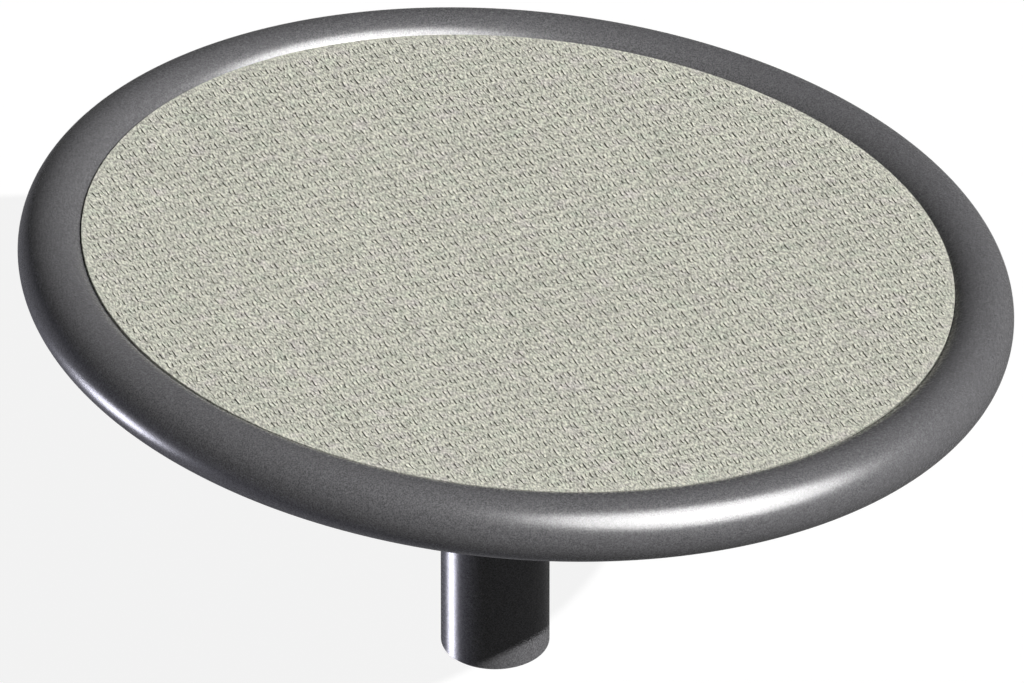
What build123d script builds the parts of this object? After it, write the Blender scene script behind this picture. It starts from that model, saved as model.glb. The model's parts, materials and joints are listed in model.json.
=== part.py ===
from build123d import *
from math import cos, radians, sin, sqrt, tan
import os

# Outdoor waist twister: a round standing disc that spins on a short leaning axle.
# Millimetres and degrees. The origin is the centre of the post's foot on the ground,
# +Z is up, and the disc leans towards +X.


# Post and lean

post_diameter = 101.6
post_wall = 5.0
lean_angle = 6.0
lean_start_height = 169.0
rim_centre_height = 396.0

# Rim and deck

rim_diameter = 863.6
rim_tube_diameter = 63.5
rim_tube_wall = 3.0
rim_drain_diameter = 8.0
deck_rise = 22.5
deck_surface_thickness = 3.0
deck_panel_thickness = 10.0

# Spider that carries the deck

arm_count = 6
arm_width = 50.0
arm_height = 25.0
arm_wall = 3.0
ledge_width = 25.0
ledge_thickness = 4.0
spider_ring_diameter = 108.0
spider_ring_wall = 8.0
spider_plate_diameter = 200.0
spider_plate_thickness = 8.0

# Hub housing

hub_body_diameter = 110.0
hub_spigot_diameter = 92.0
hub_flange_thickness = 12.0
hub_rib_thickness = 8.0
hub_rib_height = 40.0
hub_shoulder = 5.0
hub_foot_gap = 5.0

# Ball bearings, 40 x 80 x 18

bearing_bore = 40.0
bearing_diameter = 80.0
bearing_width = 18.0
bearing_spacing = 60.0
inner_ring_diameter = 52.9
outer_ring_bore = 67.1
ball_diameter = 12.0
ball_count = 9
cage_thickness = 3.0
cage_width = 15.6
spacer_wall = 5.0

# Circlip, seal and cap of the hub

circlip_thickness = 2.5
circlip_width = 6.0
circlip_depth = 1.8
circlip_opening = 10.0
circlip_lug_diameter = 7.0
circlip_lug_hole = 2.5
seal_width = 8.0
seal_height = 10.0
seal_lip = 2.0
seal_inset = 0.4
seal_gap = 2.0
cap_skirt = 8.0
cap_wall = 2.0
cap_lip = 3.0
cap_rise = 8.5

# Axle, its tab washer and its slotted nut

axle_shoulder = 5.0
axle_flange_diameter = 76.0
axle_flange_thickness = 10.0
axle_tail_length = 12.0
axle_end_rise = 2.0
washer_thickness = 1.2
washer_tab = 5.0
nut_diameter = 58.0
nut_height = 11.0
nut_slot_count = 4
nut_slot_width = 7.0
nut_slot_depth = 3.0

# Plates in the post

head_plate_thickness = 10.0
head_plate_inset = 1.0
guide_plate_thickness = 10.0
foot_plate_thickness = 12.0
foot_bolt_circle = 60.0
foot_bolt_count = 4
foot_tapping_diameter = 10.2
foot_drain_diameter = 20.0

# Bolts through the hub's flange

hub_bolt_diameter = 12.0
hub_bolt_circle = 160.0
hub_bolt_flats = 18.0
hub_bolt_head = 7.5
hub_nut_height = 10.8
hub_bolt_end = 3.0
hub_washer_diameter = 24.0
hub_washer_thickness = 2.5

# Bolts that hold the deck from below, and their inserts

deck_bolt_diameter = 8.0
deck_bolt_flats = 13.0
deck_bolt_head = 5.3
deck_bolt_inner_radius = 150.0
deck_bolt_edge_distance = 54.5
deck_washer_diameter = 16.0
deck_washer_thickness = 1.6
insert_wall = 2.0
insert_length = 9.0

# Grease nipple in the side of the hub

nipple_thread_diameter = 8.0
nipple_thread_length = 8.0
nipple_flats = 9.0
nipple_hex_height = 5.0
nipple_neck_diameter = 5.0
nipple_neck_length = 4.0
nipple_tip_diameter = 6.4
grease_way_diameter = 3.0

# Clearances and edges

weld_gap = 0.3
deck_edge_gap = 0.35
panel_edge_gap = 0.55
rolling_gap = 0.25
running_gap = 0.08
slip_gap = 0.1
bolt_gap = 0.5
edge_break = 1.0
overrun = 5.0


# Radii

post_radius = post_diameter / 2
post_bore_radius = post_radius - post_wall
rim_radius = rim_diameter / 2
tube_radius = rim_tube_diameter / 2
panel_radius = rim_radius - tube_radius - panel_edge_gap
spider_ring_radius = spider_ring_diameter / 2
spider_plate_radius = spider_plate_diameter / 2
hub_body_radius = hub_body_diameter / 2
hub_spigot_radius = hub_spigot_diameter / 2
bearing_radius = bearing_diameter / 2
shoulder_radius = bearing_radius - hub_shoulder
groove_radius = bearing_radius + circlip_depth
ball_radius = ball_diameter / 2
ball_circle_radius = (inner_ring_diameter + outer_ring_bore) / 4
axle_radius = bearing_bore / 2
axle_shoulder_radius = axle_radius + axle_shoulder
axle_flange_radius = axle_flange_diameter / 2
seal_bore_radius = bearing_radius - seal_height
seal_track_radius = seal_bore_radius - running_gap
insert_radius = deck_bolt_diameter / 2 + slip_gap + insert_wall
deck_bolt_outer_radius = panel_radius - deck_bolt_edge_distance

# Levels along the leaning axis, from the rim's centre plane, top to bottom

panel_top = deck_rise - deck_surface_thickness
arm_top = panel_top - deck_panel_thickness
ledge_bottom = arm_top - ledge_thickness
arm_bottom = arm_top - arm_height
plate_bottom = arm_bottom - spider_plate_thickness
hub_flange_bottom = plate_bottom - hub_flange_thickness
circlip_top = arm_bottom - cap_skirt
upper_bearing_top = circlip_top - circlip_thickness
upper_bearing_level = upper_bearing_top - bearing_width / 2
upper_bearing_bottom = upper_bearing_top - bearing_width
lower_bearing_level = upper_bearing_level - bearing_spacing
lower_bearing_top = lower_bearing_level + bearing_width / 2
lower_bearing_bottom = lower_bearing_level - bearing_width / 2
nipple_level = (upper_bearing_bottom + lower_bearing_top) / 2
seal_top = lower_bearing_bottom - seal_gap
seal_bottom = seal_top - seal_width
hub_bottom = seal_bottom - seal_inset
axle_flange_top = hub_bottom - hub_foot_gap
axle_flange_bottom = axle_flange_top - axle_flange_thickness
head_plate_bottom = axle_flange_bottom - head_plate_thickness
nut_bottom = upper_bearing_top + washer_thickness
axle_top = nut_bottom + nut_height + axle_end_rise
cap_top = arm_bottom + cap_rise

# Leaning frame: its origin is the rim's centre and its Z is the spin axis

lean = radians(lean_angle)
rim_offset = (rim_centre_height - lean_start_height) * tan(lean)
guide_level = (lean_start_height - rim_centre_height) / cos(lean)
axle_bottom = guide_level - axle_tail_length
disc_plane = Plane(
    origin=(rim_offset, 0, rim_centre_height),
    x_dir=(cos(lean), 0, -sin(lean)),
    z_dir=(sin(lean), 0, cos(lean)),
)
spin_axis = Axis(disc_plane.origin, disc_plane.z_dir)

# Directions around the spin axis, in degrees

arm_pitch = 360 / arm_count
arm_angles = [index * arm_pitch for index in range(arm_count)]
bay_angles = [angle + arm_pitch / 2 for angle in arm_angles]


def place(angle, radius, level):
    """A place in the leaning frame, with X pointing away from the spin axis."""
    return disc_plane.location * Rot(Z=angle) * Pos(radius, 0, level)


def upright(angle):
    """The plane through the spin axis in which X is the radius and Y is the level."""
    return Plane(place(angle, 0, 0) * Rot(X=90))


def facing_out(angle, radius, level):
    """A plane that looks away from the spin axis, with its X pointing down the axis."""
    return Plane(place(angle, radius, level) * Rot(Y=90))


def rim_wall_radius(level):
    """Inner radius of the rim's tube at a level."""
    return rim_radius - sqrt(max(tube_radius**2 - level**2, 0))


def section(points):
    """Closed face through (radius, level) points, in the sketch that is open."""
    Polygon(*points, align=None)


def band(inner, outer, bottom, top):
    """Corners of a plain section between two radii and two levels."""
    return [(inner, bottom), (outer, bottom), (outer, top), (inner, top)]


def save(piece, name):
    """Label a finished piece and write it to its own file."""
    piece.part.label = name
    export_step(piece.part, f"parts/{name}.step")


def save_turned(name, points):
    """A piece turned about the spin axis from (radius, level) points."""
    with BuildPart() as piece:
        with BuildSketch(upright(0)):
            section(points)
        revolve(axis=spin_axis)
    save(piece, name)


os.makedirs("parts", exist_ok=True)


# Post tube, cut flat at the ground and square to the leaning axis at its head

with BuildPart() as post_tube:
    with BuildSketch():
        Circle(post_radius)
        Circle(post_bore_radius, mode=Mode.SUBTRACT)
    extrude(amount=rim_centre_height)
    split(bisect_by=disc_plane.offset(head_plate_bottom), keep=Keep.BOTTOM)
save(post_tube, "post_tube")

# Foot plate, flush with the end of the post, with tapped holes for the ground anchor

with BuildPart() as foot_plate:
    with BuildSketch():
        Circle(post_bore_radius - slip_gap)
        Circle(foot_drain_diameter / 2, mode=Mode.SUBTRACT)
        with PolarLocations(foot_bolt_circle / 2, foot_bolt_count):
            Circle(foot_tapping_diameter / 2, mode=Mode.SUBTRACT)
    extrude(amount=foot_plate_thickness)
save(foot_plate, "foot_plate")

# Guide plate across the post, bored at the lean for the axle's tail

with BuildPart() as guide_plate:
    with BuildSketch(Plane.XY.offset(lean_start_height - guide_plate_thickness / 2)):
        Circle(post_bore_radius - slip_gap)
    extrude(amount=guide_plate_thickness)
    with BuildSketch(disc_plane.offset(guide_level)):
        Circle(axle_radius + slip_gap)
    extrude(amount=guide_plate_thickness, both=True, mode=Mode.SUBTRACT)
save(guide_plate, "guide_plate")

# Head plate that closes the post, set in a little to leave room for its weld

with BuildPart() as head_plate:
    with BuildSketch():
        Circle(post_radius - head_plate_inset)
    extrude(amount=rim_centre_height)
    split(bisect_by=disc_plane.offset(axle_flange_bottom), keep=Keep.BOTTOM)
    split(bisect_by=disc_plane.offset(head_plate_bottom), keep=Keep.TOP)
    with BuildSketch(disc_plane.offset(head_plate_bottom - overrun)):
        Circle(axle_radius + slip_gap)
    extrude(amount=head_plate_thickness + 2 * overrun, mode=Mode.SUBTRACT)
save(head_plate, "head_plate")


# Fixed axle: tail, flange on the head plate, seal track, bearing seats and end

save_turned(
    "spindle",
    [
        (0, axle_bottom),
        (axle_radius - edge_break, axle_bottom),
        (axle_radius, axle_bottom + edge_break),
        (axle_radius, axle_flange_bottom),
        (axle_flange_radius, axle_flange_bottom),
        (axle_flange_radius, axle_flange_top - edge_break),
        (axle_flange_radius - edge_break, axle_flange_top),
        (seal_track_radius, axle_flange_top),
        (seal_track_radius, seal_top),
        (axle_shoulder_radius, seal_top),
        (axle_shoulder_radius, lower_bearing_bottom),
        (axle_radius, lower_bearing_bottom),
        (axle_radius, axle_top - edge_break),
        (axle_radius - edge_break, axle_top),
        (0, axle_top),
    ],
)

# Spacer between the inner rings

save_turned(
    "bearing_spacer",
    band(axle_radius + slip_gap, axle_radius + spacer_wall, lower_bearing_top, upper_bearing_bottom),
)


def save_race(name, inner, outer, level):
    """One ring of a bearing, with the groove that its balls run in."""
    with BuildPart() as race:
        with BuildSketch(upright(0)):
            section(band(inner, outer, level - bearing_width / 2, level + bearing_width / 2))
            with Locations((ball_circle_radius, level)):
                Circle(ball_radius + rolling_gap, mode=Mode.SUBTRACT)
        revolve(axis=spin_axis)
    save(race, name)


def save_balls(name, level):
    """The balls of one bearing, each a solid of its own."""
    with BuildPart() as balls:
        with Locations(disc_plane.offset(level)):
            with PolarLocations(ball_circle_radius, ball_count):
                Sphere(ball_radius)
    save(balls, name)


def save_cage(name, level):
    """The band that keeps the balls of one bearing apart, with a pocket for each."""
    inner = ball_circle_radius - cage_thickness / 2
    outer = ball_circle_radius + cage_thickness / 2
    with BuildPart() as cage:
        with BuildSketch(upright(0)):
            section(band(inner, outer, level - cage_width / 2, level + cage_width / 2))
        revolve(axis=spin_axis)
        with Locations(disc_plane.offset(level)):
            with PolarLocations(ball_circle_radius, ball_count):
                Cylinder(
                    radius=ball_radius + rolling_gap,
                    height=2 * cage_thickness,
                    rotation=(0, 90, 0),
                    mode=Mode.SUBTRACT,
                )
    save(cage, name)


# The two bearings

for side, bearing_level in (("lower", lower_bearing_level), ("upper", upper_bearing_level)):
    save_race(f"{side}_bearing_inner_ring", axle_radius, inner_ring_diameter / 2, bearing_level)
    save_race(f"{side}_bearing_outer_ring", outer_ring_bore / 2, bearing_radius, bearing_level)
    save_balls(f"{side}_bearing_balls", bearing_level)
    save_cage(f"{side}_bearing_cage", bearing_level)


# Tab washer and slotted nut that clamp the inner rings on the axle

with BuildPart() as tab_washer:
    with BuildSketch(disc_plane.offset(upper_bearing_top)):
        Circle(inner_ring_diameter / 2)
        with PolarLocations(inner_ring_diameter / 2, nut_slot_count):
            Rectangle(washer_tab, nut_slot_width - 2 * slip_gap)
        Circle(axle_radius + slip_gap, mode=Mode.SUBTRACT)
    extrude(amount=washer_thickness)
save(tab_washer, "tab_washer")

with BuildPart() as lock_nut:
    with BuildSketch(disc_plane.offset(nut_bottom)):
        Circle(nut_diameter / 2)
        Circle(axle_radius + slip_gap, mode=Mode.SUBTRACT)
        with PolarLocations(nut_diameter / 2, nut_slot_count):
            Rectangle(2 * nut_slot_depth, nut_slot_width, mode=Mode.SUBTRACT)
    extrude(amount=nut_height)
save(lock_nut, "lock_nut")


# Hub housing with its flange, spigot, ribs, bearing seats and grease way

rib_root = hub_body_radius - edge_break
rib_tip = spider_plate_radius - edge_break
nipple_seat = facing_out(bay_angles[0], hub_body_radius, nipple_level)

with BuildPart() as hub_housing:
    with BuildSketch(upright(0)):
        section(
            [
                (bearing_radius, hub_bottom),
                (hub_body_radius - edge_break, hub_bottom),
                (hub_body_radius, hub_bottom + edge_break),
                (hub_body_radius, hub_flange_bottom),
                (spider_plate_radius - edge_break, hub_flange_bottom),
                (spider_plate_radius, hub_flange_bottom + edge_break),
                (spider_plate_radius, plate_bottom),
                (hub_spigot_radius, plate_bottom),
                (hub_spigot_radius, arm_bottom),
                (bearing_radius, arm_bottom),
                (bearing_radius, circlip_top),
                (groove_radius, circlip_top),
                (groove_radius, upper_bearing_top),
                (bearing_radius, upper_bearing_top),
                (bearing_radius, upper_bearing_bottom),
                (shoulder_radius, upper_bearing_bottom),
                (shoulder_radius, lower_bearing_top),
                (bearing_radius, lower_bearing_top),
            ]
        )
    revolve(axis=spin_axis)
    with BuildSketch(*[upright(angle) for angle in arm_angles]):
        section(
            [
                (rib_root, hub_flange_bottom),
                (rib_root, hub_flange_bottom - hub_rib_height),
                (rib_tip, hub_flange_bottom),
            ]
        )
    extrude(amount=hub_rib_thickness / 2, both=True)
    with BuildSketch(disc_plane.offset(hub_flange_bottom - overrun)):
        with PolarLocations(hub_bolt_circle / 2, arm_count, start_angle=arm_pitch / 2):
            Circle(hub_bolt_diameter / 2 + bolt_gap)
    extrude(amount=hub_flange_thickness + 2 * overrun, mode=Mode.SUBTRACT)
    with BuildSketch(nipple_seat.offset(-nipple_thread_length)):
        Circle(nipple_thread_diameter / 2 + slip_gap)
    extrude(amount=nipple_thread_length + overrun, mode=Mode.SUBTRACT)
    with BuildSketch(nipple_seat):
        Circle(grease_way_diameter / 2)
    extrude(amount=shoulder_radius - hub_body_radius - overrun, mode=Mode.SUBTRACT)
save(hub_housing, "hub_housing")


# Grease nipple

with BuildPart() as grease_nipple:
    with BuildSketch(nipple_seat.offset(-nipple_thread_length)):
        Circle(nipple_thread_diameter / 2)
        Circle(grease_way_diameter / 2, mode=Mode.SUBTRACT)
    extrude(amount=nipple_thread_length)
    with BuildSketch(nipple_seat):
        RegularPolygon(radius=nipple_flats / 2, side_count=6, major_radius=False)
    extrude(amount=nipple_hex_height)
    with BuildSketch(nipple_seat.offset(nipple_hex_height)):
        Circle(nipple_neck_diameter / 2)
    extrude(amount=nipple_neck_length)
    with Locations(nipple_seat.offset(nipple_hex_height + nipple_neck_length)):
        Sphere(nipple_tip_diameter / 2)
save(grease_nipple, "grease_nipple")


# Circlip above the upper bearing, open at one side with a lug at each end

circlip_inner_radius = groove_radius - circlip_width
lug_spread = (circlip_opening + circlip_lug_diameter) / 2 + bolt_gap
lug_circle_radius = bearing_radius - bolt_gap - circlip_lug_diameter / 2
lug_distance = sqrt(lug_circle_radius**2 - lug_spread**2)

with BuildPart() as bearing_circlip:
    with BuildSketch(disc_plane.offset(upper_bearing_top)):
        Circle(groove_radius - slip_gap)
        Circle(circlip_inner_radius, mode=Mode.SUBTRACT)
        with Locations((groove_radius, 0)):
            Rectangle(4 * circlip_width, circlip_opening, mode=Mode.SUBTRACT)
        with Locations((lug_distance, lug_spread), (lug_distance, -lug_spread)):
            Circle(circlip_lug_diameter / 2)
            Circle(circlip_lug_hole / 2, mode=Mode.SUBTRACT)
    extrude(amount=circlip_thickness)
save(bearing_circlip, "bearing_circlip")

# Shaft seal, pressed into the hub's foot, with its lip on the axle

save_turned(
    "shaft_seal",
    [
        (seal_bore_radius + seal_lip, seal_bottom),
        (bearing_radius, seal_bottom),
        (bearing_radius, seal_top),
        (seal_bore_radius + seal_lip, seal_top),
        (seal_bore_radius, (seal_top + seal_bottom) / 2),
    ],
)

# Cap over the axle's nut, pressed into the hub's head

save_turned(
    "hub_cap",
    [
        (bearing_radius - cap_wall, circlip_top),
        (bearing_radius, circlip_top),
        (bearing_radius, arm_bottom),
        (bearing_radius + cap_lip, arm_bottom),
        (bearing_radius + cap_lip, arm_bottom + cap_wall),
        (bearing_radius, arm_bottom + cap_wall),
        (bearing_radius - cap_rise + cap_wall, cap_top),
        (0, cap_top),
        (0, cap_top - cap_wall),
        (bearing_radius - cap_rise, cap_top - cap_wall),
        (bearing_radius - cap_wall, arm_bottom),
    ],
)


# Spider plate that the hub is bolted to, and the ring that joins the arms on it

with BuildPart() as spider_plate:
    with BuildSketch(disc_plane.offset(plate_bottom)):
        Circle(spider_plate_radius)
        Circle(hub_spigot_radius + slip_gap, mode=Mode.SUBTRACT)
        with PolarLocations(hub_bolt_circle / 2, arm_count, start_angle=arm_pitch / 2):
            Circle(hub_bolt_diameter / 2 + bolt_gap, mode=Mode.SUBTRACT)
    extrude(amount=spider_plate_thickness)
save(spider_plate, "spider_plate")

save_turned(
    "spider_ring",
    band(spider_ring_radius - spider_ring_wall, spider_ring_radius, arm_bottom, arm_top),
)


def save_arm(name, angle):
    """A hollow arm from the spider ring to the rim, cut to the shape of both."""
    start = spider_ring_radius - spider_ring_wall
    with BuildPart() as arm:
        with BuildSketch(facing_out(angle, start, (arm_top + arm_bottom) / 2)):
            Rectangle(arm_height, arm_width)
            Rectangle(arm_height - 2 * arm_wall, arm_width - 2 * arm_wall, mode=Mode.SUBTRACT)
        extrude(amount=rim_radius - start)
        with BuildSketch(disc_plane.offset(arm_bottom - overrun)):
            Circle(spider_ring_radius + weld_gap)
        extrude(amount=arm_height + 2 * overrun, mode=Mode.SUBTRACT)
        with BuildSketch(upright(angle)):
            with Locations((rim_radius, 0)):
                Circle(tube_radius + weld_gap)
        revolve(axis=spin_axis, mode=Mode.SUBTRACT)
        with BuildSketch(Plane(place(angle, 0, arm_bottom - overrun))):
            with Locations((deck_bolt_inner_radius, 0), (deck_bolt_outer_radius, 0)):
                Circle(deck_bolt_diameter / 2 + bolt_gap)
        extrude(amount=arm_height + 2 * overrun, mode=Mode.SUBTRACT)
    save(arm, name)


def save_ledge(name, angle):
    """A flat bar along the rim between two arms, under the panel's edge."""
    outer = rim_wall_radius(ledge_bottom) - weld_gap
    half_bay = radians(arm_pitch / 2)
    apex = (arm_width / 2 + weld_gap) / sin(half_bay)
    far_x = apex + rim_diameter * cos(half_bay)
    far_y = rim_diameter * sin(half_bay)
    with BuildPart() as ledge:
        with BuildSketch(Plane(place(angle, 0, ledge_bottom))):
            Circle(outer)
            Circle(outer - ledge_width, mode=Mode.SUBTRACT)
            Polygon((apex, 0), (far_x, far_y), (far_x, -far_y), align=None, mode=Mode.INTERSECT)
        extrude(amount=ledge_thickness)
    save(ledge, name)


# The arms and, between them, the ledges

for index in range(arm_count):
    save_arm(f"spider_arm_{index + 1}", arm_angles[index])
    save_ledge(f"deck_ledge_{index + 1}", bay_angles[index])


# Rim: a round tube bent to a full ring, with a drain hole at its lowest point

with BuildPart() as rim_tube:
    with BuildSketch(upright(0)):
        with Locations((rim_radius, 0)):
            Circle(tube_radius)
            Circle(tube_radius - rim_tube_wall, mode=Mode.SUBTRACT)
    revolve(axis=spin_axis)
    with BuildSketch(Plane(place(0, rim_radius, -tube_radius - overrun))):
        Circle(rim_drain_diameter / 2)
    extrude(amount=overrun + 2 * rim_tube_wall, mode=Mode.SUBTRACT)
save(rim_tube, "rim_tube")


# Deck panel with blind holes for the inserts, and the gritted surface on top of it

with BuildPart() as deck_panel:
    with BuildSketch(disc_plane.offset(arm_top)):
        Circle(panel_radius)
    extrude(amount=deck_panel_thickness)
    with BuildSketch(disc_plane.offset(arm_top)):
        for bolt_radius in (deck_bolt_inner_radius, deck_bolt_outer_radius):
            with PolarLocations(bolt_radius, arm_count):
                Circle(insert_radius)
    extrude(amount=insert_length, mode=Mode.SUBTRACT)
save(deck_panel, "deck_panel")

with BuildPart() as deck_surface:
    with BuildSketch(disc_plane.offset(panel_top)):
        Circle(rim_wall_radius(panel_top) - deck_edge_gap)
    extrude(amount=deck_surface_thickness)
save(deck_surface, "deck_surface")


def save_rings(name, centres, inner, outer, levels):
    """A group of flat rings, such as washers, given as (bottom, height) levels."""
    with BuildPart() as rings:
        for bottom, height in levels:
            with BuildSketch(disc_plane.offset(bottom)):
                with Locations(*centres):
                    Circle(outer)
                    Circle(inner, mode=Mode.SUBTRACT)
            extrude(amount=height)
    save(rings, name)


def save_bolts(name, centres, shank, flats, head, seat, length):
    """A group of hexagon bolts that point up from a seat level."""
    with BuildPart() as bolts:
        with BuildSketch(disc_plane.offset(seat - head)):
            with Locations(*centres):
                RegularPolygon(radius=flats / 2, side_count=6, major_radius=False)
        extrude(amount=head)
        with BuildSketch(disc_plane.offset(seat)):
            with Locations(*centres):
                Circle(shank / 2)
        extrude(amount=length)
    save(bolts, name)


def circle_of_centres(radius, angles):
    """Bolt centres on one circle, in the leaning frame."""
    return [(radius * cos(radians(angle)), radius * sin(radians(angle))) for angle in angles]


# Bolts, washers and nuts that hold the hub to the spider plate

hub_bolt_centres = circle_of_centres(hub_bolt_circle / 2, bay_angles)
hub_bolt_seat = hub_flange_bottom - hub_washer_thickness
hub_nut_bottom = arm_bottom + hub_washer_thickness

save_bolts(
    "hub_bolts",
    hub_bolt_centres,
    hub_bolt_diameter,
    hub_bolt_flats,
    hub_bolt_head,
    hub_bolt_seat,
    hub_nut_bottom + hub_nut_height + hub_bolt_end - hub_bolt_seat,
)
save_rings(
    "hub_washers",
    hub_bolt_centres,
    hub_bolt_diameter / 2 + bolt_gap,
    hub_washer_diameter / 2,
    [(hub_bolt_seat, hub_washer_thickness), (arm_bottom, hub_washer_thickness)],
)

with BuildPart() as hub_nuts:
    with BuildSketch(disc_plane.offset(hub_nut_bottom)):
        with Locations(*hub_bolt_centres):
            RegularPolygon(radius=hub_bolt_flats / 2, side_count=6, major_radius=False)
            Circle(hub_bolt_diameter / 2 + slip_gap, mode=Mode.SUBTRACT)
    extrude(amount=hub_nut_height)
save(hub_nuts, "hub_nuts")


# Bolts and washers under the arms, and the inserts in the panel that they screw into

deck_bolt_centres = circle_of_centres(deck_bolt_inner_radius, arm_angles)
deck_bolt_centres += circle_of_centres(deck_bolt_outer_radius, arm_angles)
deck_bolt_seat = arm_bottom - deck_washer_thickness

save_bolts(
    "deck_bolts",
    deck_bolt_centres,
    deck_bolt_diameter,
    deck_bolt_flats,
    deck_bolt_head,
    deck_bolt_seat,
    arm_top + insert_length - edge_break - deck_bolt_seat,
)
save_rings(
    "deck_washers",
    deck_bolt_centres,
    deck_bolt_diameter / 2 + bolt_gap,
    deck_washer_diameter / 2,
    [(deck_bolt_seat, deck_washer_thickness)],
)
save_rings(
    "deck_inserts",
    deck_bolt_centres,
    deck_bolt_diameter / 2 + slip_gap,
    insert_radius,
    [(arm_top, insert_length)],
)
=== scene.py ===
"""Looks of the outdoor waist twister: finishes, tread, welds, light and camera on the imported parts."""

import json
import math

import bmesh
import bpy
import numpy as np
from mathutils import Matrix, Vector


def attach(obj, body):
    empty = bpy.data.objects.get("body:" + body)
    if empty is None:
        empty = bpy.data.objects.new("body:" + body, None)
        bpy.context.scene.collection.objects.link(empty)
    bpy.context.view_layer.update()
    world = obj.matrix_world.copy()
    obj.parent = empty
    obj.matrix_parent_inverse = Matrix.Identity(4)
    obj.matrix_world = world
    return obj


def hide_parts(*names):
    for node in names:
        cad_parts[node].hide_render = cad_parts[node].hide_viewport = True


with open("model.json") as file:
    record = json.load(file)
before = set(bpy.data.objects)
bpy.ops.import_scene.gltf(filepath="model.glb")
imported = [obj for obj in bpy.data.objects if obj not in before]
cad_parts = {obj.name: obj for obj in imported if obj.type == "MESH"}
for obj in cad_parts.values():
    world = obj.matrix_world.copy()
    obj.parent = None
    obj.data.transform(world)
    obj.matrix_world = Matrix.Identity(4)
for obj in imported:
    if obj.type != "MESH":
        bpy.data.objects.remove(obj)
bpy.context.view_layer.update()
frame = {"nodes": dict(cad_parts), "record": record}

# Sizes of the part, in metres and radians

LEAN = math.radians(6.0)
RIM_CENTRE_HEIGHT = 0.396
LEAN_START_HEIGHT = 0.169
RIM_RADIUS = 0.4318
TUBE_RADIUS = 0.03175
TUBE_WALL = 0.003
DRAIN_RADIUS = 0.004
POST_RADIUS = 0.0508
DECK_TOP = 0.0225
ARM_TOP = 0.0095
ARM_BOTTOM = -0.0155
LEDGE_BOTTOM = 0.0055
FLANGE_BOTTOM = -0.1294
HEAD_BOTTOM = -0.1394
AXLE_FLANGE_RADIUS = 0.038
ARM_HALF_WIDTH = 0.025
SPIDER_RING_RADIUS = 0.054
SPIDER_PLATE_RADIUS = 0.100
LEDGE_WIDTH = 0.025
ARM_COUNT = 6
BAR_TILT = math.radians(-12)

# Leaning frame: its origin is the rim's centre and its Z is the spin axis

disc_x = Vector((math.cos(LEAN), 0, -math.sin(LEAN)))
disc_y = Vector((0, 1, 0))
disc_z = Vector((math.sin(LEAN), 0, math.cos(LEAN)))
disc_centre = Vector(((RIM_CENTRE_HEIGHT - LEAN_START_HEIGHT) * math.tan(LEAN), 0, RIM_CENTRE_HEIGHT))
disc_matrix = Matrix.Translation(disc_centre) @ Matrix((disc_x, disc_y, disc_z)).transposed().to_4x4()

arm_angles = [index * 2 * math.pi / ARM_COUNT for index in range(ARM_COUNT)]
bay_angles = [angle + math.pi / ARM_COUNT for angle in arm_angles]


def in_disc(x, y, level):
    """A point of the leaning frame, in the row frame."""
    return disc_matrix @ Vector((x, y, level))


def around(angle, radius, level, across=0.0):
    """A point at a radius in the direction of an angle, moved across it, in the row frame."""
    x = radius * math.cos(angle) - across * math.sin(angle)
    y = radius * math.sin(angle) + across * math.cos(angle)
    return in_disc(x, y, level)


def rim_wall(level):
    """Inner radius of the rim's tube at a level."""
    return RIM_RADIUS - math.sqrt(max(TUBE_RADIUS**2 - level**2, 0.0))


# Materials

ASKEW = (0.6, 0.9, 0.4)
EDGE_SAMPLES = 4
EDGE_COSINES = (0.97, 0.88)


def calculated(tree, operation, first, second):
    """What a node makes of two values of its tree. The second may be a plain number."""
    made = tree.nodes.new("ShaderNodeMath")
    made.operation = operation
    tree.links.new(first, made.inputs[0])
    if isinstance(second, (int, float)):
        made.inputs[1].default_value = second
    else:
        tree.links.new(second, made.inputs[1])
    return made.outputs[0]


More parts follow.
